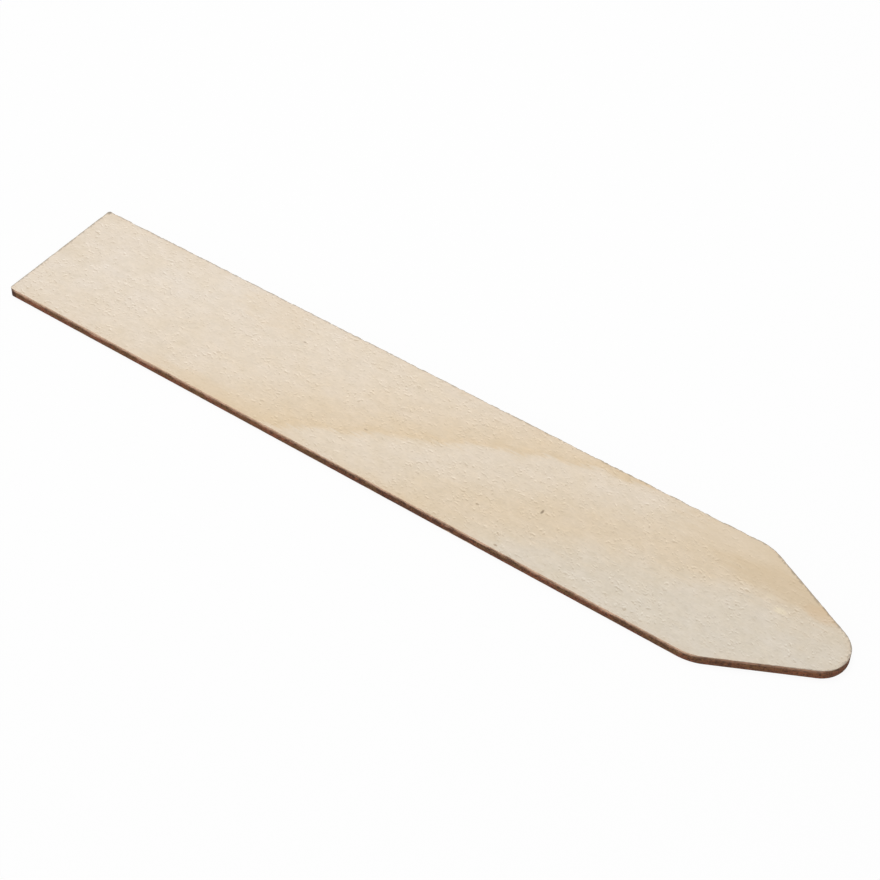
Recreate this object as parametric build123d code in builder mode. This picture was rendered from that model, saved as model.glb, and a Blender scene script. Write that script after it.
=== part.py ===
"""Plant label stake, laser-cut from thin three-ply board and lying on its back face.

The board is two pale outer veneers with their grain along the blade, a core veneer with its grain
across it, and the two resin glue lines that bond the three sheets. The blade is cut through the whole
stack at once, so every layer takes its outline from the same cut.

X runs along the blade to the nose, Y across it and Z up through the layers. The origin is on the back
face, half way along the blade.
"""

import os
from math import asin, atan2, hypot, radians, tan

from build123d import *

# Blade plan, in millimetres, measured on the back face
BLADE_LENGTH = 180.0
BLADE_WIDTH = 30.0
POINT_LENGTH = 22.5  # from the shoulders' sharp corners to the nose
NOSE_RADIUS = 5.7
SHOULDER_RADIUS = 10.5
END_CORNER_RADIUS = 0.7

# Board make-up, in millimetres
OUTER_VENEER_THICKNESS = 0.5
CORE_VENEER_THICKNESS = 0.9
GLUE_LINE_THICKNESS = 0.05

# The laser's kerf narrows on its way down, so the cut wall leans in towards the top, in degrees
KERF_LEAN = 1.0

# Height of each layer's underside above the back face
BACK_VENEER_BASE = 0.0
BACK_GLUE_BASE = BACK_VENEER_BASE + OUTER_VENEER_THICKNESS
CORE_BASE = BACK_GLUE_BASE + GLUE_LINE_THICKNESS
FACE_GLUE_BASE = CORE_BASE + CORE_VENEER_THICKNESS
FACE_VENEER_BASE = FACE_GLUE_BASE + GLUE_LINE_THICKNESS


def point_apex_x():
    """Where the point's two straight sides would meet, if the nose between them were left sharp.

    Each side runs from a shoulder corner and touches the nose circle, whose far end is the blade's tip.
    """
    half_width = BLADE_WIDTH / 2
    shoulder_x = BLADE_LENGTH / 2 - POINT_LENGTH
    to_nose_centre = POINT_LENGTH - NOSE_RADIUS
    reach = hypot(to_nose_centre, half_width)
    side_slope = atan2(half_width, to_nose_centre) - asin(NOSE_RADIUS / reach)
    return shoulder_x + half_width / tan(side_slope)


def blade_plan(height):
    """The blade's outline at a height in the board, where the leaning cut has drawn it in."""
    end_x = -BLADE_LENGTH / 2
    shoulder_x = BLADE_LENGTH / 2 - POINT_LENGTH
    half_width = BLADE_WIDTH / 2
    drawn_in = height * tan(radians(KERF_LEAN))
    with BuildSketch() as plan:
        with BuildLine():
            Polyline(
                (end_x, -half_width),
                (shoulder_x, -half_width),
                (point_apex_x(), 0),
                (shoulder_x, half_width),
                (end_x, half_width),
                close=True,
            )
        make_face()
        # From the tip backwards, so that the groups still to be rounded keep their places
        fillet(plan.vertices().group_by(Axis.X)[-1], NOSE_RADIUS)
        fillet(plan.vertices().group_by(Axis.X)[1], SHOULDER_RADIUS)
        fillet(plan.vertices().group_by(Axis.X)[0], END_CORNER_RADIUS)
        if drawn_in:
            offset(amount=-drawn_in, mode=Mode.REPLACE)
    return plan.sketch


# Back veneer: long-grain sheet that the stake lies on
with BuildPart() as back_veneer:
    with BuildSketch(Plane.XY.offset(BACK_VENEER_BASE)):
        add(blade_plan(BACK_VENEER_BASE))
    extrude(amount=OUTER_VENEER_THICKNESS, taper=KERF_LEAN)
back_veneer.part.label = "back_veneer"

# Back glue line: cured resin film between the back veneer and the core
with BuildPart() as back_glue_line:
    with BuildSketch(Plane.XY.offset(BACK_GLUE_BASE)):
        add(blade_plan(BACK_GLUE_BASE))
    extrude(amount=GLUE_LINE_THICKNESS, taper=KERF_LEAN)
back_glue_line.part.label = "back_glue_line"

# Core veneer: cross-grain sheet that keeps the blade from splitting along its length
with BuildPart() as core_veneer:
    with BuildSketch(Plane.XY.offset(CORE_BASE)):
        add(blade_plan(CORE_BASE))
    extrude(amount=CORE_VENEER_THICKNESS, taper=KERF_LEAN)
core_veneer.part.label = "core_veneer"

# Face glue line: cured resin film between the core and the face veneer
with BuildPart() as face_glue_line:
    with BuildSketch(Plane.XY.offset(FACE_GLUE_BASE)):
        add(blade_plan(FACE_GLUE_BASE))
    extrude(amount=GLUE_LINE_THICKNESS, taper=KERF_LEAN)
face_glue_line.part.label = "face_glue_line"

# Face veneer: long-grain sheet that is written on
with BuildPart() as face_veneer:
    with BuildSketch(Plane.XY.offset(FACE_VENEER_BASE)):
        add(blade_plan(FACE_VENEER_BASE))
    extrude(amount=OUTER_VENEER_THICKNESS, taper=KERF_LEAN)
face_veneer.part.label = "face_veneer"

os.makedirs("parts", exist_ok=True)
for layer in (back_veneer, back_glue_line, core_veneer, face_glue_line, face_veneer):
    export_step(layer.part, f"parts/{layer.part.label}.step")
    print(layer.part.label, "volume", round(layer.part.volume, 1), "mm3")
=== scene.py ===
# %% [markdown]
# # A laser-cut plant label
# The object is one flat blade, cut by a laser from thin three-ply board. It has a square end to write on
# and a round-nosed point to push into soil, and it lies on its back face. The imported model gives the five
# layers of the board as solids, in metres. This lesson keeps their size and place and gives every layer
# its finish, in this order: camera, floor and light, the cut layers, the wood, the scorched edge.

# %% Load the frame and keep its box
import math

import bpy
from mathutils import Color, Matrix, Vector


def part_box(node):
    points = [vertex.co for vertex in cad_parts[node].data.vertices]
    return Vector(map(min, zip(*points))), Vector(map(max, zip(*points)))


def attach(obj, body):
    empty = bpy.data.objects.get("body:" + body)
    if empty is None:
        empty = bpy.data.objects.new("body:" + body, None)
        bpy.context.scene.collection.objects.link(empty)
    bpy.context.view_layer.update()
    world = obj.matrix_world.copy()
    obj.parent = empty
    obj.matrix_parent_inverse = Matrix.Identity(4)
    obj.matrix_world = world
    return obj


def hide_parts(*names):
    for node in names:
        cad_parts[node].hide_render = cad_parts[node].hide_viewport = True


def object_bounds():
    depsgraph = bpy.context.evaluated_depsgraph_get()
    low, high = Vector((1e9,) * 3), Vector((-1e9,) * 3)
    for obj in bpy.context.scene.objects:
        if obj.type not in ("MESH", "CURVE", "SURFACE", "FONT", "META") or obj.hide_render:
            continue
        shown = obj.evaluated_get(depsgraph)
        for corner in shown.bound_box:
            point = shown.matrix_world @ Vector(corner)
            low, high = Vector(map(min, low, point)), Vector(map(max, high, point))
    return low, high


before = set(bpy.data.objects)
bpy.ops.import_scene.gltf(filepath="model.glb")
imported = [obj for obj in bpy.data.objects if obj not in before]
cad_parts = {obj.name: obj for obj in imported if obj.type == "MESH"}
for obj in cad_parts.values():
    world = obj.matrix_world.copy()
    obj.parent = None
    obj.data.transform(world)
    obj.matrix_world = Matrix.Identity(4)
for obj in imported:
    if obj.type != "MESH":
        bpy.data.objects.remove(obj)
cad_low, cad_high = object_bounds()
scene = bpy.context.scene
scene.view_settings.view_transform = "Standard"
print("layers", sorted(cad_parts))
print("blade box", cad_low, cad_high)

# %% [markdown]
# ## Camera
# A product photograph of a long flat thing is taken from above and a little to one side. A camera can be
# placed by eye, but here its place, the spot on the face that it aims at and its small roll are known, so
# they are set as numbers. `to_track_quat` turns the camera to the aim with its top up, and the roll then
# turns it about its own axis.

# %% Set the camera
MM = 0.001
CAMERA_PLACE = Vector((0.14198, -0.20688, 0.26322))
CAMERA_AIM = Vector((0.00420, 0.00142, 0.00200))
CAMERA_ROLL = math.radians(1.987)
CAMERA_LENS = 78.885  # millimetres
SENSOR_WIDTH = 36.0  # millimetres

camera_data = bpy.data.cameras.new("camera")
camera_data.lens = CAMERA_LENS
camera_data.sensor_width = SENSOR_WIDTH
camera = bpy.data.objects.new("camera", camera_data)
scene.collection.objects.link(camera)
aim_turn = (CAMERA_AIM - CAMERA_PLACE).to_track_quat("-Z", "Y").to_matrix().to_4x4()
camera.matrix_world = Matrix.Translation(CAMERA_PLACE) @ aim_turn @ Matrix.Rotation(CAMERA_ROLL, 4, "Z")
scene.camera = camera
print("camera", round((CAMERA_AIM - CAMERA_PLACE).length, 3), "m from its aim")

# %% [markdown]
# ## Node helpers
# Node trees can be drawn by hand in the editor, or written like this, one call for each node. Three
# helpers do that: the first fills an input, the second adds a node with its properties and inputs, and
# the third makes an empty group with named sockets.


# %% Define the node helpers
def fill(tree, socket, value):
    """Gives an input a plain value, or a link from another node's output."""
    if isinstance(value, bpy.types.NodeSocket):
        tree.links.new(value, socket)
    else:
        socket.default_value = value


def place(tree, kind, inputs=None, **settings):
    """Adds a node, sets its properties, then fills its inputs."""
    node = tree.nodes.new(kind)
    for name, value in settings.items():
        setattr(node, name, value)
    for key, value in (inputs or {}).items():
        fill(tree, node.inputs[key], value)
    return node


def new_tree(name, kind, inputs, outputs):
    """A node group with named sockets. Returns the tree, what it is given and what it has to give back."""
    tree = bpy.data.node_groups.new(name, kind)
    for way, sockets in (("INPUT", inputs), ("OUTPUT", outputs)):
        for socket_name, socket_type in sockets:
            tree.interface.new_socket(name=socket_name, in_out=way, socket_type="NodeSocket" + socket_type)
    return tree, tree.nodes.new("NodeGroupInput").outputs, tree.nodes.new("NodeGroupOutput").inputs


print("node helpers ready")

# %% [markdown]
# ## Arithmetic helpers
# Most of a procedural finish is arithmetic on masks, and each sum or product is a node of its own. These
# short forms of `place` keep the formulas readable: Math, Vector Math and Mix nodes, sums and products of
# several values, and a soft step, which a Map Range node gives.


# %% Define the arithmetic helpers
# A Mix node holds sockets for each kind of data: the places of share, first, second and result
MIX_SOCKETS = {"FLOAT": (0, 2, 3, 0), "VECTOR": (0, 4, 5, 1), "RGBA": (0, 6, 7, 2)}


def math_node(tree, operation, *values, clamp=False):
    """The result of one Math node on values or sockets."""
    node = place(tree, "ShaderNodeMath", dict(enumerate(values)), operation=operation, use_clamp=clamp)
    return node.outputs[0]


def total(tree, first, *others):
    """Adds values or sockets, one Math node for each sum."""
    for other in others:
        first = math_node(tree, "ADD", first, other)
    return first


def product(tree, first, *others):
    """Multiplies values or sockets, one Math node for each product."""
    for other in others:
        first = math_node(tree, "MULTIPLY", first, other)
    return first


def vector_node(tree, operation, *values):
    """The vector result of one Vector Math node on vectors or sockets."""
    return place(tree, "ShaderNodeVectorMath", dict(enumerate(values)), operation=operation).outputs[0]


def axes_of(tree, vector):
    """The three numbers of a vector, by the names X, Y and Z."""
    return place(tree, "ShaderNodeSeparateXYZ", {0: vector}).outputs


def mix_node(tree, kind, share, first, second, **settings):
    """Goes from the first value to the second while share goes from 0 to 1."""
    share_at, first_at, second_at, result_at = MIX_SOCKETS[kind]
    inputs = {share_at: share, first_at: first, second_at: second}
    return place(tree, "ShaderNodeMix", inputs, data_type=kind, **settings).outputs[result_at]


def smooth_step(tree, value, start, end, low=0.0, high=1.0):
    """Runs from low to high while value runs from start to end, with soft ends."""
    inputs = {"Value": value, "From Min": start, "From Max": end, "To Min": low, "To Max": high}
    return place(tree, "ShaderNodeMapRange", inputs, interpolation_type="SMOOTHSTEP").outputs["Result"]


print("arithmetic helpers ready")

# %% [markdown]
# ## Floor
# The label lies on a white sweep. A floor lit to full white would need more light than the wood can take,
# so the floor's own shader shows most of itself as plain white to the camera, and to glossy and
# transmitted rays, while the rays that carry light still meet ordinary pale paint. The part that stays
# paint keeps the label's soft shadow.

# %% Make the floor
FLOOR_HALF_SIDE = 3.0
FLOOR_DROP = 0.02 * MM
FLOOR_PAINT = (0.93, 0.93, 0.93, 1.0)
FLOOR_WHITE_SHARE = 0.93
WHITE = (1.0, 1.0, 1.0, 1.0)

floor_mesh = bpy.data.meshes.new("floor")
floor_signs = ((-1, -1), (1, -1), (1, 1), (-1, 1))
floor_corners = [(x * FLOOR_HALF_SIDE, y * FLOOR_HALF_SIDE, -FLOOR_DROP) for x, y in floor_signs]
floor_mesh.from_pydata(floor_corners, [], [(0, 1, 2, 3)])
floor = bpy.data.objects.new("floor", floor_mesh)
scene.collection.objects.link(floor)


def white_to_the_eye(tree):
    """1 for camera, glossy and transmitted rays, and 0 for the rays that carry light."""
    rays = tree.nodes.new("ShaderNodeLightPath").outputs
    seen = math_node(tree, "MAXIMUM", rays["Is Camera Ray"], rays["Is Glossy Ray"])
    return math_node(tree, "MAXIMUM", seen, rays["Is Transmission Ray"])


floor_finish = bpy.data.materials.new("floor paint")
floor_finish.use_nodes = True
tree = floor_finish.node_tree
tree.nodes.clear()
paint = place(tree, "ShaderNodeBsdfDiffuse", {"Color": FLOOR_PAINT}).outputs[0]
white = place(tree, "ShaderNodeEmission", {"Color": WHITE, "Strength": 1.0}).outputs[0]
white_share = product(tree, white_to_the_eye(tree), FLOOR_WHITE_SHARE)
mixed = place(tree, "ShaderNodeMixShader", dict(enumerate((white_share, paint, white)))).outputs[0]
place(tree, "ShaderNodeOutputMaterial", {"Surface": mixed})
floor_mesh.materials.append(floor_finish)
print("floor", 2 * FLOOR_HALF_SIDE, "m wide")

# %% [markdown]
# ## Light
# One soft box hangs over the square half, so its light is even there and falls off towards the point. A
# weak second box, low in front, lights the cut wall more than the face, and the pale sky fills the rest.
# Strong lamps would bleach such pale wood, so their watts are chosen to render the wood about as it is
# written.

# %% Light the studio
WORLD_LIGHT = 0.3
# name, place in metres, side in metres, watts
SOFT_BOXES = (
    ("key_box", (-0.085, 0.10, 0.49), 0.3, 1.67),
    ("fill_box", (0.18, -0.60, 0.20), 0.35, 1.22),
)

world = bpy.data.worlds.new("studio")
world.use_nodes = True
scene.world = world
tree = world.node_tree
tree.nodes.clear()
sky_inputs = {"Value": white_to_the_eye(tree), "To Min": WORLD_LIGHT, "To Max": 1.0}
sky_strength = place(tree, "ShaderNodeMapRange", sky_inputs).outputs[0]
sky = place(tree, "ShaderNodeBackground", {"Color": WHITE, "Strength": sky_strength}).outputs[0]
place(tree, "ShaderNodeOutputWorld", {"Surface": sky})

for box_name, box_place, box_side, watts in SOFT_BOXES:
    lamp_data = bpy.data.lights.new(box_name, "AREA")
    lamp_data.shape = "SQUARE"
    lamp_data.size = box_side
    lamp_data.energy = watts
    lamp = bpy.data.objects.new(box_name, lamp_data)
    scene.collection.objects.link(lamp)
    lamp.location = box_place
    lamp.rotation_euler = (-Vector(box_place)).to_track_quat("-Z", "Y").to_euler()
    lamp.visible_camera = False
    print(box_name, watts, "W")

# %% [markdown]
# ## The line of the cut
# The laser draws one line: square at the end, straight along both sides, and rounded at the shoulders and
# the nose. It could be traced point by point. Six corners say the same with less, because each point of a
# Blender curve has a radius of its own, and here that radius holds how far the corner is rounded.
# Geometry Nodes then round them. The line starts in the middle of the square end, so that its two halves
# mirror each other.

# %% Draw the corners of the cut
POINT_LENGTH = 22.5 * MM
NOSE_RADIUS = 5.7 * MM
SHOULDER_RADIUS = 10.5 * MM
END_CORNER_RADIUS = 0.7 * MM

end_x = cad_low.x
tip_x = cad_high.x
half_width = cad_high.y
shoulder_x = tip_x - POINT_LENGTH
nose_centre_x = tip_x - NOSE_RADIUS
reach = math.hypot(nose_centre_x - shoulder_x, half_width)
side_slope = math.atan2(half_width, nose_centre_x - shoulder_x) - math.asin(NOSE_RADIUS / reach)
apex_x = shoulder_x + half_width / math.tan(side_slope)

# x, y, rounding
CUT_CORNERS = (
    (end_x, 0, 0),
    (end_x, -half_width, END_CORNER_RADIUS),
    (shoulder_x, -half_width, SHOULDER_RADIUS),
    (apex_x, 0, NOSE_RADIUS),
    (shoulder_x, half_width, SHOULDER_RADIUS),
    (end_x, half_width, END_CORNER_RADIUS),
)
cut_line = bpy.data.curves.new("cut_line", "CURVE")
cut_line.dimensions = "3D"
spline = cut_line.splines.new("POLY")
spline.points.add(len(CUT_CORNERS) - 1)
for point, (x, y, corner_radius) in zip(spline.points, CUT_CORNERS):
    point.co = (x, y, 0, 1)
    point.radius = corner_radius
spline.use_cyclic_u = True
print("corners", len(CUT_CORNERS), "apex", round(apex_x / MM, 2), "mm")

# %% [markdown]
# ## One layer of the board: stations along the line
# A layer is a flat sheet with a cut wall all round. A solidified outline would do, but its wall would be
# one tall face, and a laser leaves more: the wall leans, the char eats into it unevenly, and the outer
# arris is a little soft. So one Geometry Nodes tree makes every layer by sweeping a small section round
# the cut line. It first rounds the corners and sets even stations. Each station keeps two things for
# later: which way is outwards, and how far the line runs with the grain there, because a cut across the
# grain chars darker.

# %% Start the layer tree
ARC_POINTS = 32  # in each rounded corner
HALVES = 2  # of the line, which mirror each other, so that its stations come in pairs

layer_tree, given, result = new_tree(
    "Cut layer",
    "GeometryNodeTree",
    (
        ("Cut Line", "Geometry"),
        ("Section", "Object"),
        ("Section Points", "Int"),
        ("Station Spacing", "Float"),
        ("Kerf Lean", "Float"),
        ("Char Depth", "Float"),
        ("Char Width", "Float"),
        ("Char Seed", "Float"),
        ("Half Width", "Float"),
        ("Middle Start", "Float"),
        ("Middle End", "Float"),
        ("Finish", "Material"),
    ),
    (("Layer", "Geometry"),),
)
tree = layer_tree


def geometry_node(kind, inputs=None, **settings):
    """The first output of one geometry node in the layer tree."""
    return place(layer_tree, "GeometryNode" + kind, inputs, **settings).outputs[0]


def keep(geometry, name, value, data_type="FLOAT"):
    """Stores a value on every point of a geometry, under a name."""
    inputs = {"Geometry": geometry, "Name": name, "Value": value}
    return geometry_node("StoreNamedAttribute", inputs, data_type=data_type, domain="POINT")


def recall(name, data_type="FLOAT"):
    """Reads what was kept under a name."""
    return geometry_node("InputNamedAttribute", {"Name": name}, data_type=data_type)


corner_radii = geometry_node("InputRadius")
fillet_inputs = {"Curve": given["Cut Line"], "Count": ARC_POINTS, "Radius": corner_radii}
rounded = geometry_node("FilletCurve", fillet_inputs, mode="POLY")
length = geometry_node("CurveLength", {"Curve": rounded})
pair_length = product(tree, given["Station Spacing"], HALVES)
pairs = math_node(tree, "ROUND", math_node(tree, "DIVIDE", length, pair_length))
even_inputs = {"Curve": rounded, "Count": product(tree, pairs, HALVES)}
even = geometry_node("ResampleCurve", even_inputs, mode="COUNT")
upright = geometry_node("SetCurveNormal", {"Curve": even}, mode="Z_UP")
tangent = geometry_node("InputTangent")
upright = keep(upright, "outward", vector_node(tree, "CROSS_PRODUCT", tangent, (0, 0, 1)), "FLOAT_VECTOR")
upright = keep(upright, "with_grain", math_node(tree, "ABSOLUTE", axes_of(tree, tangent)["X"]))
print("stations ready")

# %% [markdown]
# ## One layer of the board: sweep and char
# The section is a small open line from the middle of the top, round the cut and back to the middle of the
# underside. Its points know how far in from the cut they lie, and keep that as `from_cut`, which the
# scorch follows later. After the sweep every point is drawn in by the lean of the kerf and by the char,
# whose nicks are the peaks of a noise. They are deepest on the wall, and fade over the first tenths of a
# millimetre of the face. The air that blows the smoke away keeps one side of the cut cleaner, and across
# the grain the fibres don't tear out as easily.

# %% Sweep the section and char the wall
CHAR_FADE = 0.45 * MM
CHAR_DETAIL = 3.0
CHAR_GRAININESS = 0.6
CHAR_NICKS = (0.38, 0.70)  # the noise from which the char bites, and where it bites deepest
SMOKE_SIDES = (-14 * MM, 8 * MM)  # the smoke was blown across the blade, from the first Y to the second
CROSS_GRAIN = (0.99, 0.88)  # how far the line runs with the grain, from a cut along it to one across it
CLEAN_NICKS = 0.35  # of the nicks' depth is left across the grain, and where the smoke was blown from
CHAR_FLATTENING = (1, 1, 0.25)  # the beam drags its marks upright, so the noise is tall

section = place(tree, "GeometryNodeObjectInfo", {"Object": given["Section"]}).outputs["Geometry"]
section = geometry_node("MeshToCurve", {"Mesh": section})
here = geometry_node("InputPosition")
section = keep(section, "from_cut", product(tree, axes_of(tree, here)["X"], -1))
swept = geometry_node("CurveToMesh", {"Curve": upright, "Profile Curve": section})

here_axes = axes_of(tree, here)
from_cut = recall("from_cut")
lean = product(tree, here_axes["Z"], math_node(tree, "TANGENT", given["Kerf Lean"]))
noise_scale = math_node(tree, "DIVIDE", 1, given["Char Width"])
char_inputs = {
    "Vector": vector_node(tree, "MULTIPLY", here, CHAR_FLATTENING),
    "W": given["Char Seed"],
    "Scale": noise_scale,
    "Detail": CHAR_DETAIL,
    "Roughness": CHAR_GRAININESS,
}
char_noise = place(tree, "ShaderNodeTexNoise", char_inputs, noise_dimensions="4D").outputs[0]
char_fading = smooth_step(tree, from_cut, 0.0, CHAR_FADE, 1.0, 0.0)
nicks = smooth_step(tree, char_noise, *CHAR_NICKS)
smoke = smooth_step(tree, here_axes["Y"], *SMOKE_SIDES, CLEAN_NICKS, 1.0)
along = smooth_step(tree, recall("with_grain"), *CROSS_GRAIN, 1.0, CLEAN_NICKS)
eaten = product(tree, nicks, given["Char Depth"], char_fading, smoke, along)
inwards = product(tree, total(tree, lean, eaten), -1)
offset_inputs = {0: recall("outward", "FLOAT_VECTOR"), "Scale": inwards}
offset = place(tree, "ShaderNodeVectorMath", offset_inputs, operation="SCALE").outputs[0]
cut = geometry_node("SetPosition", {"Geometry": swept, "Offset": offset})
print("sweep ready")

# %% [markdown]
# ## One layer of the board: close the sheet
# The flat top and underside could be two many-sided faces, but such faces triangulate badly. Instead the
# last three points at each end of the section run in to the blade's middle line, where both halves of the
# sweep meet and are merged. The sheet is then closed with even strips. Corners sharper than a limit keep
# a hard edge, the rest is shaded smooth, and the finish is set last.

# %% Close the sheet
MIDDLE_POINTS = 3  # at each end of a section
MERGE_DISTANCE = 0.001 * MM
HARD_EDGE = math.radians(50)

index = geometry_node("InputIndex")
row = math_node(tree, "FLOORED_MODULO", index, given["Section Points"])
last_row = math_node(tree, "SUBTRACT", given["Section Points"], 1)
from_end = math_node(tree, "MINIMUM", row, math_node(tree, "SUBTRACT", last_row, row))
to_middle = math_node(tree, "SUBTRACT", 1, math_node(tree, "DIVIDE", from_end, MIDDLE_POINTS), clamp=True)
clamp_inputs = {"Value": here_axes["X"], "Min": given["Middle Start"], "Max": given["Middle End"]}
middle_x = place(tree, "ShaderNodeClamp", clamp_inputs).outputs[0]
middle = place(tree, "ShaderNodeCombineXYZ", {"X": middle_x, "Z": here_axes["Z"]}).outputs[0]
moved = mix_node(tree, "VECTOR", to_middle, here, middle)
sheet = geometry_node("SetPosition", {"Geometry": cut, "Position": moved})
sheet = keep(sheet, "from_cut", total(tree, from_cut, product(tree, to_middle, given["Half Width"])))
sheet = geometry_node("RemoveAttribute", {"Geometry": sheet, "Name": "outward"})
sheet = geometry_node("MergeByDistance", {"Geometry": sheet, "Distance": MERGE_DISTANCE})
sheet = geometry_node("SetShadeSmooth", {"Geometry": sheet, "Shade Smooth": True})
edge_angle = place(tree, "GeometryNodeInputMeshEdgeAngle").outputs["Unsigned Angle"]
hard = math_node(tree, "GREATER_THAN", edge_angle, HARD_EDGE)
hard_inputs = {"Geometry": sheet, "Selection": hard, "Shade Smooth": False}
sheet = geometry_node("SetShadeSmooth", hard_inputs, domain="EDGE")
sheet = geometry_node("RealizeInstances", {"Geometry": sheet})
sheet = geometry_node("SetMaterial", {"Geometry": sheet, "Material": given["Finish"]})
tree.links.new(sheet, result["Layer"])
print("layer tree", len(tree.nodes), "nodes")

# %% [markdown]
# ## The sections
# Each layer has a section of its own: its wall between two heights, and a flat run on its top and
# underside. The two faces of the board that show get a soft arris, a quarter round of a few hundredths of
# a millimetre that sanding leaves, with narrow rows behind it for the char. The hidden faces between the
# layers need neither.

# %% Define the sections
WALL_STEP = 0.07 * MM
ARRIS = 0.05 * MM
ARRIS_STEPS = 3
RIM_INSETS = (0.10 * MM, 0.18 * MM, 0.30 * MM, 0.45 * MM, 0.60 * MM)
MIDDLE_STEP = 0.01 * MM


def face_run(height, arris, inwards_z):
    """Section points of one face, from its arris to the points that run in to the middle."""
    points = []
    if arris:
        for step in range(1, ARRIS_STEPS + 1):
            turn = math.pi / 2 * step / ARRIS_STEPS
            inset = arris * (1 - math.cos(turn))
            points.append((inset, height + inwards_z * arris * (1 - math.sin(turn))))
    insets = RIM_INSETS if arris else RIM_INSETS[-1:]
    points += [(inset, height) for inset in insets]
    points += [(RIM_INSETS[-1] + MIDDLE_STEP * step, height) for step in range(1, MIDDLE_POINTS + 1)]
    return points


def layer_section(base, top, low_arris, high_arris):
    """A layer's section as a mesh of edges, from the middle of its top round to that of its underside."""
    wall_low = base + low_arris
    wall_high = top - high_arris
    steps = max(1, round((wall_high - wall_low) / WALL_STEP))
    wall = [(0.0, wall_low + (wall_high - wall_low) * step / steps) for step in range(steps + 1)]
    upwards = face_run(base, low_arris, 1)[::-1] + wall + face_run(top, high_arris, -1)
    # The sweep lays a section's X outwards and its Y downwards
    points = [(-inset, -height, 0) for inset, height in upwards[::-1]]
    section_mesh = bpy.data.meshes.new("section")
    section_mesh.from_pydata(points, [(step, step + 1) for step in range(len(points) - 1)], [])
    return section_mesh


print("arris", ARRIS / MM, "mm")

# %% [markdown]
# ## Make the five layers
# The tree now runs once for each layer, with that layer's section, char and finish. A modifier's inputs
# are set by the identifier of each socket, before anything is evaluated. `new_from_object` then turns the
# evaluated result into a plain mesh, the helper objects go, and the mesh takes the place of its solid in
# the frame.

# %% List the layers
# piece, node, slot, finish, low arris, high arris, char depth, char width
LAYERS = (
    ("back_sheet", "back_veneer", "outer_veneer", "back veneer", ARRIS, 0.0, 0.05 * MM, 0.9 * MM),
    ("back_resin", "back_glue_line", "glue_line", "resin film", 0.0, 0.0, 0.03 * MM, 0.6 * MM),
    ("core_sheet", "core_veneer", "core_veneer", "core veneer", 0.0, 0.0, 0.08 * MM, 0.5 * MM),
    ("face_resin", "face_glue_line", "glue_line", "resin film", 0.0, 0.0, 0.03 * MM, 0.6 * MM),
    ("face_sheet", "face_veneer", "outer_veneer", "face veneer", 0.0, ARRIS, 0.20 * MM, 1.3 * MM),
)
FINISH_NAMES = ("face veneer", "back veneer", "core veneer", "resin film")
finishes = {name: bpy.data.materials.new(name) for name in FINISH_NAMES}
print("layers", len(LAYERS), "finishes", len(finishes))

# %% Make the layers
STATION_SPACING = 0.2 * MM
KERF_LEAN = math.radians(1.0)


def run_layer_tree(section_mesh, values):
    """Runs the layer tree on the cut line and gives back a plain mesh."""
    section_object = bpy.data.objects.new("section", section_mesh)
    path = bpy.data.objects.new("path", cut_line)
    for helper in (section_object, path):
        scene.collection.objects.link(helper)
    modifier = path.modifiers.new("layer", "NODES")
    modifier.node_group = layer_tree
    values = {"Section": section_object, "Section Points": len(section_mesh.vertices), **values}
    for item in layer_tree.interface.items_tree:
        if item.in_out == "INPUT" and item.name in values:
            modifier[item.identifier] = values[item.name]
    mesh = bpy.data.meshes.new_from_object(path.evaluated_get(bpy.context.evaluated_depsgraph_get()))
    for helper in (section_object, path):
        bpy.data.objects.remove(helper)
    return mesh


for seed, layer in enumerate(LAYERS):
    piece_name, node, slot, finish, low_arris, high_arris, char_depth, char_width = layer
    low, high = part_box(node)
    values = {
        "Station Spacing": STATION_SPACING,
        "Kerf Lean": KERF_LEAN,
        "Char Depth": char_depth,
        "Char Width": char_width,
        "Char Seed": float(seed),
        "Half Width": half_width,
        "Middle Start": end_x + half_width,
        "Middle End": nose_centre_x,
        "Finish": finishes[finish],
    }
    mesh = run_layer_tree(layer_section(low.z, high.z, low_arris, high_arris), values)
    mesh.name = piece_name
    piece = bpy.data.objects.new(piece_name, mesh)
    scene.collection.objects.link(piece)
    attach(piece, "root")
    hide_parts(node)
    print(piece_name, len(mesh.vertices), "vertices", len(mesh.polygons), "faces")

# %% [markdown]
# ## Noise
# Wood and char are never even, and noise stands for most of what varies in them. A noise texture has one
# scale for all directions, but fibres are long and thin, so the place is divided by a size along each
# axis before the noise reads it. A fourth number, the seed, moves a noise to another part of the pattern,
# so that two noises of the same size differ.

# %% Define the noise helpers
NOISE_MIDDLE = 0.5
SMOOTH = 1.0  # detail of a noise that stays smooth close up


def stretched_noise(tree, where, size, seed, detail=2.0, roughness=0.5, distortion=0.0):
    """Noise whose patches measure about size along X, Y and Z, in metres."""
    inputs = {
        "Vector": vector_node(tree, "DIVIDE", where, size),
        "W": seed,
        "Scale": 1.0,
        "Detail": detail,
        "Roughness": roughness,
        "Distortion": distortion,
    }
    return place(tree, "ShaderNodeTexNoise", inputs, noise_dimensions="4D").outputs[0]


def swing_about_zero(tree, noise, swing):
    """Noise from 0 to 1, moved to swing from minus swing to swing."""
    return product(tree, math_node(tree, "SUBTRACT", noise, NOISE_MIDDLE), swing, 1 / NOISE_MIDDLE)


print("noise helpers ready")

# %% [markdown]
# ## Growth rings
# The veneer is peeled from a log, so the blade cuts through a few years of growth at a flat angle, and
# each year shows as a wide band across the grain. A year's wood grows warmer and darker towards its end,
# and then the next one starts pale at once, so the bands are soft on one side and sharp on the other. A
# wave texture can't turn as these bands do. Here a small formula gives every spot its age in years, and a
# ramp turns the age into how warm the wood is there.

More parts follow.
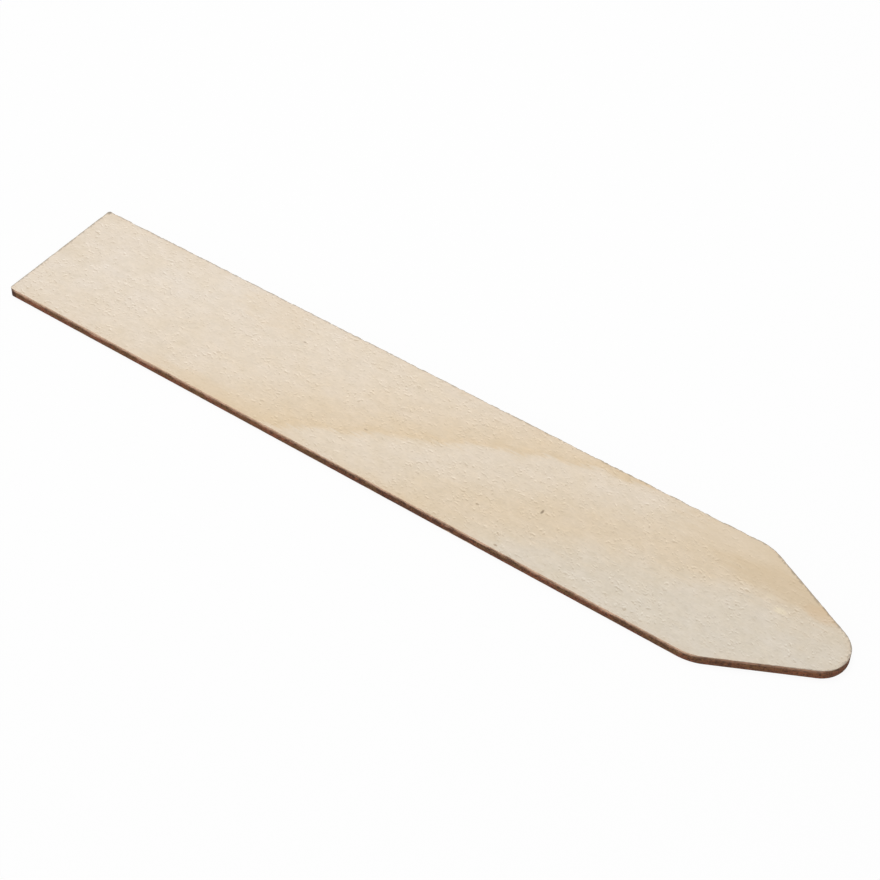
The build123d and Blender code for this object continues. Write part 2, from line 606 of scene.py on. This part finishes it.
# %% Build the growth rings group
# age in years from the sharp end of the first full year, and how warm the wood is there
RING_WARMTH = (
    (-2.20, 0.13),
    (-1.55, 0.03),
    (-1.20, 0.12),
    (-0.80, 0.20),
    (-0.47, 0.32),
    (-0.22, 0.60),
    (-0.09, 0.74),
    (-0.02, 0.93),
    (0.03, 0.36),
    (0.09, 0.27),
    (0.20, 0.25),
    (0.40, 0.36),
    (0.65, 0.62),
    (0.78, 0.68),
    (0.90, 0.62),
    (1.05, 0.42),
    (1.20, 0.20),
    (1.40, 0.08),
    (1.80, 0.00),
)
SLOW_WAVER = (12 * MM, 6 * MM, 6 * MM)
FINE_WAVER = (5 * MM, 0.4 * MM, 0.4 * MM)
FINE_SHARE = 0.8  # of the slow waver's swing
NEW_RAMP_STOPS = 2  # that a new colour ramp already has

rings_tree, given, result = new_tree(
    "Growth rings",
    "ShaderNodeTree",
    (
        ("Place", "Vector"),
        ("Swing", "Float"),
        ("Middle", "Float"),
        ("Run", "Float"),
        ("Year Width", "Float"),
        ("Slant Widening", "Float"),
        ("First Year", "Float"),
        ("Waver", "Float"),
        ("Seed", "Float"),
    ),
    (("Warmth", "Float"), ("Age", "Float")),
)
tree = rings_tree
axes = axes_of(tree, given["Place"])
along = math_node(tree, "DIVIDE", math_node(tree, "SUBTRACT", axes["X"], given["Middle"]), given["Run"])
bend = math_node(tree, "TANH", along)
flatness = math_node(tree, "SUBTRACT", 1, product(tree, bend, bend))
slope = product(tree, math_node(tree, "DIVIDE", given["Swing"], given["Run"]), flatness)
slow_noise = stretched_noise(tree, given["Place"], SLOW_WAVER, given["Seed"])
fine_noise = stretched_noise(tree, given["Place"], FINE_WAVER, given["Seed"])
slow = swing_about_zero(tree, slow_noise, given["Waver"])
fine = swing_about_zero(tree, fine_noise, product(tree, given["Waver"], FINE_SHARE))
rise = math_node(tree, "SUBTRACT", product(tree, given["Swing"], bend), axes["Y"])
year = total(tree, given["Year Width"], product(tree, given["Slant Widening"], slope))
age = math_node(tree, "DIVIDE", total(tree, rise, slow, fine), year)
age = math_node(tree, "SUBTRACT", age, given["First Year"])
first_age, last_age = RING_WARMTH[0][0], RING_WARMTH[-1][0]
ramp_at = place(tree, "ShaderNodeMapRange", {"Value": age, "From Min": first_age, "From Max": last_age})
ramp = place(tree, "ShaderNodeValToRGB", {"Fac": ramp_at.outputs[0]})
stops = ramp.color_ramp.elements
for number, (stop_age, warmth) in enumerate(RING_WARMTH):
    position = (stop_age - first_age) / (last_age - first_age)
    stop = stops[number] if number < NEW_RAMP_STOPS else stops.new(position)
    stop.position = position
    stop.color = (warmth, warmth, warmth, 1.0)
tree.links.new(ramp.outputs["Color"], result["Warmth"])
tree.links.new(age, result["Age"])
print("growth rings", len(RING_WARMTH), "ramp stops")

# %% [markdown]
# ## Fibres
# Close up, sanded veneer is a mat of fibres along the grain. Most lie flat, in small tufts that differ a
# little in light. Here and there sanding has raised a short curl, which catches the light and throws a
# small shadow beside it, and a few open pores show as thin dark dashes. One noise texture, pulled long
# along X, gives each kind, and a threshold keeps only the peaks of curls and pores. A slow noise first
# bends the grain, so that no two curls lie quite parallel, and another gathers them in loose groups. The
# same values drive colour and bump. The light that a curl catches and its shadow are painted into the
# colour, as a painted highlight on the curl and a painted shadow beside it.

# %% Set the sizes of the fibres
FIBRE = (0.62 * MM, 0.44 * MM, 0.44 * MM)
TUFT = (2.8 * MM, 1.2 * MM, 1.2 * MM)
PORE = (1.60 * MM, 0.25 * MM, 0.25 * MM)
CURL = (0.85 * MM, 0.40 * MM, 0.40 * MM)
# the shadow of a curl is a painted shadow, laid into the colour at this offset from the curl
CURL_SHADOW = (-0.14 * MM, 0.30 * MM, 0.0)  # from a shadow to its curl
CURL_TWIST = 1.0
GROUP = (5 * MM, 4 * MM, 4 * MM)
CLOUD = (6 * MM, 4 * MM, 4 * MM)
WANDER = (1.1 * MM, 0.9 * MM, 0.9 * MM)
WANDER_SWING = 0.35 * MM  # to either side
FIBRE_SHARE = 0.5
TUFT_SHARE = 0.5
PORE_PEAKS = (0.62, 0.74)
CURL_PEAKS = (0.57, 0.70)
GROUP_PEAKS = (0.36, 0.58)
LEAST_GROUP = 0.2  # of the curls' strength is left between the groups
PORE_DEPTH = 0.6  # beside the fibres' own height
CURL_RISE = 0.4
PORE_SEED_STEP = 5.0
CURL_SEED_STEP = 9.0
CLOUD_DETAIL = 4.0
CLOUD_ROUGHNESS = 0.65
print("fibres", FIBRE[0] / MM, "mm long")

# %% [markdown]
# ## The fibre group
# The group first bends the place sideways, and then reads the noises there. Curls are read twice: once
# where they lie, and once a little to the side, which gives the places of their painted shadows. The
# height adds all up for the bump: curls stand up and pores sink in. Real hairs could be modelled instead,
# but these are shorter than a millimetre and flat, so bump is enough.

# %% Build the fibre group
fibre_tree, given, result = new_tree(
    "Wood fibres",
    "ShaderNodeTree",
    (("Place", "Vector"), ("Seed", "Float")),
    (
        ("Light", "Float"),
        ("Pores", "Float"),
        ("Curls", "Float"),
        ("Shadows", "Float"),
        ("Cloud", "Float"),
        ("Height", "Float"),
    ),
)
tree = fibre_tree
where, seed = given["Place"], given["Seed"]
wander = swing_about_zero(tree, stretched_noise(tree, where, WANDER, seed), WANDER_SWING)
sideways = place(tree, "ShaderNodeCombineXYZ", {"Y": wander}).outputs[0]
bent = vector_node(tree, "ADD", where, sideways)
fine = stretched_noise(tree, bent, FIBRE, seed, detail=SMOOTH)
tufts = stretched_noise(tree, bent, TUFT, seed, detail=SMOOTH)
light = total(tree, product(tree, fine, FIBRE_SHARE), product(tree, tufts, TUFT_SHARE))
pore_seed = total(tree, seed, PORE_SEED_STEP)
pores = smooth_step(tree, stretched_noise(tree, bent, PORE, pore_seed, detail=SMOOTH), *PORE_PEAKS)
curl_seed = total(tree, seed, CURL_SEED_STEP)
group = smooth_step(tree, stretched_noise(tree, where, GROUP, curl_seed), *GROUP_PEAKS, LEAST_GROUP, 1.0)


def curl_mask(at):
    """Where a curl lies at a place, as a share from 0 to 1."""
    noise = stretched_noise(tree, at, CURL, curl_seed, detail=SMOOTH, distortion=CURL_TWIST)
    return product(tree, smooth_step(tree, noise, *CURL_PEAKS), group)


curls = curl_mask(bent)
# where the painted shadow of each curl lies, a little to the side of it
shadows = curl_mask(vector_node(tree, "ADD", bent, CURL_SHADOW))
cloud = stretched_noise(tree, where, CLOUD, seed, CLOUD_DETAIL, CLOUD_ROUGHNESS)
height = total(tree, light, product(tree, curls, CURL_RISE), product(tree, pores, -PORE_DEPTH))
fibre_values = (light, pores, curls, shadows, cloud, height)
for socket, value in zip(result, fibre_values):
    tree.links.new(value, socket)
print("fibre group", len(tree.nodes), "nodes")

# %% [markdown]
# ## The scorched wall
# A laser burns its way through, so the cut wall is brown char all round, with fine upright streaks where
# the beam pulsed, darker grains, and patches that are redder or more olive. Under the face a strip stays
# lighter, because the beam is in focus there and cuts cleanest. A slow noise stands for the changing heat
# along the way, and moves the tone and the strip together. Across the grain the strip is weaker and the
# patches calmer, round the nose the char climbs to the arris, and the square end is burnt darkest,
# because the beam stopped at its corners. One image could hold all this, but a group of noises fits any
# size of label, and each layer gives it colours of its own.

# %% Set the sizes of the char
STREAK = (0.25 * MM, 0.25 * MM, 2.5 * MM)
GRANULE = (0.34 * MM, 0.34 * MM, 0.34 * MM)
PATCH = (4.5 * MM, 4.5 * MM, 2.5 * MM)
BLOTCH = (1.1 * MM, 1.1 * MM, 0.6 * MM)
STREAK_SHARE = 0.2
GRANULE_SHARE = 0.45
BLOTCH_SHARE = 0.35
BLOTCH_SEED_STEP = 3.0
OLIVE_PATCHES = (0.42, 0.60)
DARK_TONES = (0.575, 0.395)
CROSS_GRAIN_STRIP = 0.68  # of the light strip is lost where the cut runs across the grain
NOSE_GRAIN = (0.88, 0.74)  # how far it runs with the grain, from the point's straight sides to its nose
END_BURN = (1.9 * MM, 0.6 * MM)  # from the square end, where the burn starts and where it is full
END_BURN_TONE = 0.3
BURNT_STRIP = 0.8  # of what is left of the strip is lost round the nose and on the square end
BLOTCH_WAVER = 0.35 * MM
PATCH_WAVER = 0.5 * MM
BURN = (50 * MM, 50 * MM, 50 * MM)
BURN_SEED = 35.0
BURN_TONE = 0.16
BURN_WAVER = 0.2 * MM
CALM_PATCHES = 0.6  # of the patches' contrast is lost where the cut runs across the grain
print("wall streaks", STREAK[0] / MM, "mm wide")

# %% [markdown]
# ## The scorched wall group
# The tone is a sum of noises of different sizes, and where it is low the dark colour shows. The light
# strip is a soft step in height, whose place wavers with the noises, and each burnt stretch takes a share
# of the strip away. The height for the bump comes from the streaks and the grains.

# %% Build the scorched wall group
wall_tree, given, result = new_tree(
    "Scorched wall",
    "ShaderNodeTree",
    (
        ("Place", "Vector"),
        ("With Grain", "Float"),
        ("Strip Low", "Float"),
        ("Strip High", "Float"),
        ("Strip Color", "Color"),
        ("Brown", "Color"),
        ("Olive", "Color"),
        ("Dark", "Color"),
        ("Seed", "Float"),
    ),
    (("Color", "Color"), ("Height", "Float")),
)
tree = wall_tree


def blend(tree, share, under, over, kind="MIX"):
    """Lays one colour over another by a share from 0 to 1."""
    return mix_node(tree, "RGBA", share, under, over, blend_type=kind)


streaks = stretched_noise(tree, given["Place"], STREAK, given["Seed"], detail=SMOOTH)
granules = stretched_noise(tree, given["Place"], GRANULE, given["Seed"], detail=SMOOTH)
patches = stretched_noise(tree, given["Place"], PATCH, given["Seed"])
blotch_seed = total(tree, given["Seed"], BLOTCH_SEED_STEP)
blotches = stretched_noise(tree, given["Place"], BLOTCH, blotch_seed)
across = smooth_step(tree, given["With Grain"], *CROSS_GRAIN)
tone_parts = ((streaks, STREAK_SHARE), (granules, GRANULE_SHARE), (blotches, BLOTCH_SHARE))
tone = total(tree, *[product(tree, noise, share) for noise, share in tone_parts])
burn = stretched_noise(tree, given["Place"], BURN, BURN_SEED, detail=SMOOTH)
end_place = math_node(tree, "SUBTRACT", axes_of(tree, given["Place"])["X"], end_x)
end_burn = smooth_step(tree, end_place, *END_BURN)
tone = total(tree, tone, swing_about_zero(tree, burn, BURN_TONE), product(tree, end_burn, -END_BURN_TONE))
calmed = mix_node(tree, "FLOAT", product(tree, across, CALM_PATCHES), patches, NOISE_MIDDLE)
wall = blend(tree, smooth_step(tree, calmed, *OLIVE_PATCHES), given["Olive"], given["Brown"])
wall = blend(tree, smooth_step(tree, tone, *DARK_TONES), wall, given["Dark"])
height_z = axes_of(tree, given["Place"])["Z"]
wavers = ((blotches, BLOTCH_WAVER), (patches, PATCH_WAVER), (burn, BURN_WAVER))
wavering_z = total(tree, height_z, *[swing_about_zero(tree, noise, waver) for noise, waver in wavers])
strip = smooth_step(tree, wavering_z, given["Strip Low"], given["Strip High"])
nose = smooth_step(tree, given["With Grain"], *NOSE_GRAIN)
for lost, share in ((across, CROSS_GRAIN_STRIP), (nose, BURNT_STRIP), (end_burn, BURNT_STRIP)):
    strip = product(tree, strip, math_node(tree, "SUBTRACT", 1, product(tree, lost, share)))
tree.links.new(blend(tree, strip, wall, given["Strip Color"]), result["Color"])
tree.links.new(total(tree, streaks, granules), result["Height"])
print("wall group", len(tree.nodes), "nodes")

# %% [markdown]
# ## Heat on the face
# Beside the cut the heat leaves two traces on the face: a faint amber glow about a millimetre wide, and
# at the very edge a thin singed line that breaks off and starts again. Both could be painted by hand.
# Here they follow `from_cut`, the distance from the cut that every point has kept, and noise makes them
# uneven. The line is widest on the side that the smoke was blown to, and on the square end, where the
# fibres stand end on to the beam.

# %% Build the heat group
GLOW_PATCH = (3 * MM, 3 * MM, 3 * MM)
GLOW_PEAKS = (0.3, 0.7)
GLOW_DETAIL = 3.0
NICK = (0.6 * MM, 0.6 * MM, 0.6 * MM)
NICK_PEAKS = (0.35, 0.65)
LEAST_LINE = 0.3  # of the line's width is left where it is thinnest
END_GRAIN = (0.8, 0.2)  # how far the line runs with the grain, from a slanting cut to end grain
CROSS_GRAIN_LINE = 0.35  # of the line's width is added where the cut runs across the grain
CLEAN_SIDE = 0.2  # of the line's width is left on the side that the smoke was blown from

heat_tree, given, result = new_tree(
    "Heat on the face",
    "ShaderNodeTree",
    (
        ("Place", "Vector"),
        ("From Cut", "Float"),
        ("With Grain", "Float"),
        ("Glow Reach", "Float"),
        ("Line Width", "Float"),
        ("Seed", "Float"),
    ),
    (("Glow", "Float"), ("Singe", "Float")),
)
tree = heat_tree
uneven = stretched_noise(tree, given["Place"], GLOW_PATCH, given["Seed"], GLOW_DETAIL)
far_in = math_node(tree, "DIVIDE", given["From Cut"], given["Glow Reach"])
fading = math_node(tree, "EXPONENT", product(tree, far_in, -1))
tree.links.new(product(tree, fading, smooth_step(tree, uneven, *GLOW_PEAKS)), result["Glow"])
nicks = stretched_noise(tree, given["Place"], NICK, given["Seed"])
line = product(tree, smooth_step(tree, nicks, *NICK_PEAKS, LEAST_LINE, 1.0), given["Line Width"])
end_grain = smooth_step(tree, given["With Grain"], *END_GRAIN)
smoke = smooth_step(tree, axes_of(tree, given["Place"])["Y"], *SMOKE_SIDES, CLEAN_SIDE, 1.0)
across = smooth_step(tree, given["With Grain"], *CROSS_GRAIN)
line = product(tree, line, total(tree, 1.0, product(tree, across, CROSS_GRAIN_LINE)))
line = product(tree, line, math_node(tree, "MAXIMUM", smoke, end_grain))
tree.links.new(smooth_step(tree, given["From Cut"], 0.0, line, 1.0, 0.0), result["Singe"])
print("glow patches", GLOW_PATCH[0] / MM, "mm")

# %% [markdown]
# ## Small marks
# Real veneer is never clean: a dark bark fleck, a few pin dots, two creamy spots and some riper patches
# sit on this face. Each is an oval with a soft, ragged edge, so one group makes an oval mask from a place
# and two half lengths, and the face uses it for every mark. The raggedness is measured in half lengths
# too, so it suits all sizes.

# %% Build the mark group
MARK_WAVER = (0.45, 0.16, 1.0)  # in half lengths of the mark
MARK_RAGGEDNESS = 1.3
MARK_EDGE = (0.1, 1.6)

mark_tree, given, result = new_tree(
    "Oval mark",
    "ShaderNodeTree",
    (("Place", "Vector"), ("X", "Float"), ("Y", "Float"), ("Half X", "Float"), ("Half Y", "Float")),
    (("Mask", "Float"),),
)
tree = mark_tree
axes = axes_of(tree, given["Place"])
off_x = math_node(tree, "DIVIDE", math_node(tree, "SUBTRACT", axes["X"], given["X"]), given["Half X"])
off_y = math_node(tree, "DIVIDE", math_node(tree, "SUBTRACT", axes["Y"], given["Y"]), given["Half Y"])
off_place = place(tree, "ShaderNodeCombineXYZ", {"X": off_x, "Y": off_y}).outputs[0]
ragged = swing_about_zero(tree, stretched_noise(tree, off_place, MARK_WAVER, given["X"]), MARK_RAGGEDNESS)
off = total(tree, product(tree, off_x, off_x), product(tree, off_y, off_y), ragged)
tree.links.new(smooth_step(tree, off, *MARK_EDGE, 1.0, 0.0), result["Mask"])
print("mark group ready")

# %% [markdown]
# ## Finish helpers
# A finish is the node tree of a material. It starts from the object coordinates and the two values that
# every point has kept, and it ends in one Principled shader with a bump. Colours are easiest to judge as
# screen values, so one helper turns those into the linear colours that nodes use. Another makes a colour
# lighter and darker by a value about zero, with a contrast each for red, green and blue, because wood in
# shade turns warmer as it darkens.

# %% Define how a finish starts and ends
SCREEN_WHITE = 255


def linear(red, green, blue):
    """A colour given in screen values from 0 to 255, as the linear colour that nodes use."""
    screen = Color((red / SCREEN_WHITE, green / SCREEN_WHITE, blue / SCREEN_WHITE))
    return (*screen.from_srgb_to_scene_linear(), 1.0)


def brighten(tree, colour, swing, contrasts):
    """Makes a colour lighter and darker by a value about zero, with a contrast for each channel."""
    gains = [total(tree, 1.0, product(tree, swing, contrast)) for contrast in contrasts]
    tint = place(tree, "ShaderNodeCombineColor", dict(enumerate(gains))).outputs[0]
    return blend(tree, 1.0, colour, tint, "MULTIPLY")


def start_finish(name):
    """A material's empty tree, with the object coordinates and the two kept values that it reads."""
    finish = finishes[name]
    finish.use_nodes = True
    tree = finish.node_tree
    tree.nodes.clear()
    where = tree.nodes.new("ShaderNodeTexCoord").outputs["Object"]
    from_cut = place(tree, "ShaderNodeAttribute", attribute_name="from_cut").outputs["Fac"]
    with_grain = place(tree, "ShaderNodeAttribute", attribute_name="with_grain").outputs["Fac"]
    return tree, where, from_cut, with_grain


def use(tree, group, inputs):
    """Places a shader group with its inputs, and gives back its outputs."""
    return place(tree, "ShaderNodeGroup", inputs, node_tree=group).outputs


def scorch(tree, where, with_grain, seed, strip, colours):
    """The scorched wall, which turns light between the two heights of the strip."""
    place_inputs = {"Place": where, "With Grain": with_grain, "Seed": seed}
    strip_inputs = {"Strip Low": strip[0], "Strip High": strip[1]}
    return use(tree, wall_tree, {**place_inputs, **strip_inputs, **colours})


def end_finish(tree, colour, roughness, height, depth, shine):
    """The shader of a finish, with its bump."""
    bump = place(tree, "ShaderNodeBump", {"Height": height, "Distance": depth, "Strength": 1.0}).outputs[0]
    inputs = {"Base Color": colour, "Roughness": roughness, "Normal": bump, "Specular IOR Level": shine}
    shader = place(tree, "ShaderNodeBsdfPrincipled", inputs)
    place(tree, "ShaderNodeOutputMaterial", {"Surface": shader.outputs[0]})


print("finish helpers ready")

# %% [markdown]
# ## The colours of the wood
# Bare veneer of this kind is cream where a year's growth starts and straw-coloured where it ends, and the
# wood by the point is a little greyer. All colours are written as they look in plain light. The shares
# and contrasts say how strongly each effect lies over the wood. They could be sockets of the groups, but
# both veneers use the same ones, so they stay plain values.

# %% Set the colours and shares
PALE_WOOD = linear(233, 220, 203)
WARM_WOOD = linear(225, 203, 171)
RIPE_WOOD = linear(212, 188, 152)
YOUNG_WOOD = linear(224, 213, 196)
PORE_SHADE = linear(186, 162, 130)
AMBER_GLOW = linear(222, 184, 140)
SINGED_WOOD = linear(106, 101, 93)
LIGHT_STRIP = linear(217, 181, 154)
VENEER_WALL = {
    "Strip Color": LIGHT_STRIP,
    "Brown": linear(137, 84, 60),
    "Olive": linear(120, 86, 56),
    "Dark": linear(82, 52, 37),
}
YOUNG_AGES = (-0.3, 1.5)
FIBRE_CONTRASTS = (0.15, 0.155, 0.18)  # red, green, blue
CLOUD_CONTRASTS = (0.03, 0.06, 0.14)
PORE_SHARE = 0.3
# contrasts of the painted highlights on curls; their painted shadows are deeper by SHADOW_DEPTH
CURL_CONTRASTS = (0.14, 0.17, 0.21)
SHADOW_DEPTH = 1.2  # beside the gleam of a curl
GLOW_SHARE = 0.18
GLOW_REACH = 0.9 * MM
SINGE_SHARE = 0.54
SINGE_WIDTH = 0.64 * MM
WOOD_ROUGHNESS = 0.72
CHAR_ROUGHNESS = 0.85
VENEER_BUMP = 0.02 * MM
VENEER_SHINE = 0.25
print("pale wood", [round(channel, 2) for channel in PALE_WOOD[:3]])

# %% [markdown]
# ## An outer veneer
# Face and back are the same wood with different figures, so one function paints both. The colour starts
# from the rings, takes the fibres' light and dark, the pores, and the curls with their painted highlights
# and painted shadows, then the marks, then the heat beside the cut, and last the char of the wall, which
# covers everything where `from_cut` is nought. Roughness and bump follow the same mask: bare wood is dull,
# and char is duller and rougher.


# %% Define how an outer veneer is painted
def paint_veneer(name, seed, rings, marks, strip):
    """Rings, fibres, marks, heat and char. strip holds the heights between which the wall turns light."""
    tree, where, from_cut, with_grain = start_finish(name)
    growth = use(tree, rings_tree, {"Place": where, "Seed": seed, **rings})
    pale = blend(tree, smooth_step(tree, growth["Age"], *YOUNG_AGES), PALE_WOOD, YOUNG_WOOD)
    colour = blend(tree, growth["Warmth"], pale, WARM_WOOD)
    fibres = use(tree, fibre_tree, {"Place": where, "Seed": seed})
    colour = brighten(tree, colour, swing_about_zero(tree, fibres["Cloud"], 1.0), CLOUD_CONTRASTS)
    colour = brighten(tree, colour, swing_about_zero(tree, fibres["Light"], 1.0), FIBRE_CONTRASTS)
    colour = blend(tree, product(tree, fibres["Pores"], PORE_SHARE), colour, PORE_SHADE)
    # a painted highlight on each curl and a painted shadow beside it, laid into the colour
    painted_curl_light = total(tree, fibres["Curls"], product(tree, fibres["Shadows"], -SHADOW_DEPTH))
    colour = brighten(tree, colour, painted_curl_light, CURL_CONTRASTS)
    for tint, strength, x, y, half_x, half_y in marks:
        oval = {"Place": where, "X": x, "Y": y, "Half X": half_x, "Half Y": half_y}
        mask = use(tree, mark_tree, oval)["Mask"]
        colour = blend(tree, product(tree, mask, strength), colour, tint)
    heat_inputs = {"Place": where, "From Cut": from_cut, "With Grain": with_grain, "Seed": seed}
    heat = use(tree, heat_tree, {**heat_inputs, "Glow Reach": GLOW_REACH, "Line Width": SINGE_WIDTH})
    colour = blend(tree, product(tree, heat["Glow"], GLOW_SHARE), colour, AMBER_GLOW)
    colour = blend(tree, product(tree, heat["Singe"], SINGE_SHARE), colour, SINGED_WOOD)
    wall = scorch(tree, where, with_grain, seed, strip, VENEER_WALL)
    on_wall = smooth_step(tree, from_cut, 0.0, ARRIS, 1.0, 0.0)
    colour = blend(tree, on_wall, colour, wall["Color"])
    roughness = smooth_step(tree, on_wall, 0.0, 1.0, WOOD_ROUGHNESS, CHAR_ROUGHNESS)
    height = mix_node(tree, "FLOAT", on_wall, fibres["Height"], wall["Height"])
    end_finish(tree, colour, roughness, height, VENEER_BUMP, VENEER_SHINE)


print("veneer painter ready")

# %% [markdown]
# ## Face and back
# The figure of a sheet is set by where its rings bend, how far they swing across the blade and how wide a
# year is. The back is another sheet of the same wood, so its rings bend elsewhere and the other way. The
# face also has its marks, each with a tint, a strength, a place and two half lengths. The first is a burn
# at a corner of the square end, where the beam started, then come specks and spots, and the wide ones are
# patches of riper wood.

# %% Paint the outer veneers
FACE_RINGS = {
    "Swing": 30.3 * MM,
    "Middle": -21.8 * MM,
    "Run": 59.1 * MM,
    "Year Width": 14.2 * MM,
    "Slant Widening": 23.4 * MM,
    "First Year": 0.467,
    "Waver": 3.0 * MM,
}
BACK_RINGS = {**FACE_RINGS, "Swing": -22.0 * MM, "Middle": 30.0 * MM, "First Year": -0.2}
DARK_FLECK = linear(110, 92, 72)
PIN_DOT = linear(150, 122, 92)
CREAM_SPOT = linear(248, 235, 205)
# tint, strength, x, y, half length along the blade, half width across it
FACE_MARKS = (
    (SINGED_WOOD, 0.65, -89.5 * MM, 14.6 * MM, 0.5 * MM, 0.5 * MM),
    (DARK_FLECK, 0.7, 29.5 * MM, -2.4 * MM, 0.25 * MM, 0.56 * MM),
    (PIN_DOT, 0.6, 27.0 * MM, -14.0 * MM, 0.40 * MM, 0.22 * MM),
    (PIN_DOT, 0.45, -8.6 * MM, -4.6 * MM, 0.46 * MM, 0.20 * MM),
    (PIN_DOT, 0.5, -32.4 * MM, 7.5 * MM, 0.38 * MM, 0.20 * MM),
    (PIN_DOT, 0.5, 18.9 * MM, -7.8 * MM, 0.34 * MM, 0.20 * MM),
    (CREAM_SPOT, 0.4, 75.4 * MM, 2.7 * MM, 1.2 * MM, 0.7 * MM),
    (CREAM_SPOT, 0.2, 72.4 * MM, 4.5 * MM, 0.8 * MM, 0.5 * MM),
    (WARM_WOOD, 0.25, -42.0 * MM, 11.0 * MM, 8.0 * MM, 5.0 * MM),
    (WARM_WOOD, 0.4, 64.0 * MM, 12.0 * MM, 15.0 * MM, 5.0 * MM),
    (WARM_WOOD, 0.35, -38.0 * MM, -13.8 * MM, 18.0 * MM, 2.6 * MM),
    (RIPE_WOOD, 0.40, 75.0 * MM, 7.8 * MM, 15.0 * MM, 3.2 * MM),
    (AMBER_GLOW, 0.25, 82.0 * MM, 6.2 * MM, 3.5 * MM, 1.8 * MM),
)
FACE_STRIP = (1.14 * MM, 2.04 * MM)
BACK_STRIP = (0.10 * MM, -0.20 * MM)
FACE_SEED = 1.0
BACK_SEED = 8.0
paint_veneer("face veneer", FACE_SEED, FACE_RINGS, FACE_MARKS, FACE_STRIP)
paint_veneer("back veneer", BACK_SEED, BACK_RINGS, (), BACK_STRIP)
print("outer veneers painted")

# %% [markdown]
# ## Core and glue lines
# Only the cut wall of the core shows. Its grain runs across the blade, so along the sides the beam cuts
# its end grain, which chars darkest. The resin films are thin lines of burnt glue, nearly black and a
# little shiny. Both use the same group as the veneers' wall, with darker colours.

# %% Paint the core and the resin
CORE_WOOD = linear(214, 196, 168)
CORE_WALL = {
    "Strip Color": LIGHT_STRIP,
    "Brown": linear(132, 79, 55),
    "Olive": linear(114, 82, 51),
    "Dark": linear(76, 48, 34),
}
CORE_SEED = 3.0
CORE_CHAR_DEPTH = 0.3 * MM
CORE_ROUGHNESS = 0.88
CORE_BUMP = 0.03 * MM
CORE_SHINE = 0.25
RESIN_WALL = {
    "Strip Color": linear(180, 146, 120),
    "Brown": linear(92, 60, 46),
    "Olive": linear(84, 62, 46),
    "Dark": linear(52, 36, 28),
}
RESIN_SEED = 4.0
RESIN_ROUGHNESS = 0.6
RESIN_BUMP = 0.01 * MM
RESIN_SHINE = 0.4

tree, where, from_cut, with_grain = start_finish("core veneer")
wall = scorch(tree, where, with_grain, CORE_SEED, FACE_STRIP, CORE_WALL)
inner = smooth_step(tree, from_cut, 0.0, CORE_CHAR_DEPTH)
colour = blend(tree, inner, wall["Color"], CORE_WOOD)
end_finish(tree, colour, CORE_ROUGHNESS, wall["Height"], CORE_BUMP, CORE_SHINE)

tree, where, from_cut, with_grain = start_finish("resin film")
wall = scorch(tree, where, with_grain, RESIN_SEED, FACE_STRIP, RESIN_WALL)
end_finish(tree, wall["Color"], RESIN_ROUGHNESS, wall["Height"], RESIN_BUMP, RESIN_SHINE)
print("core and resin painted")
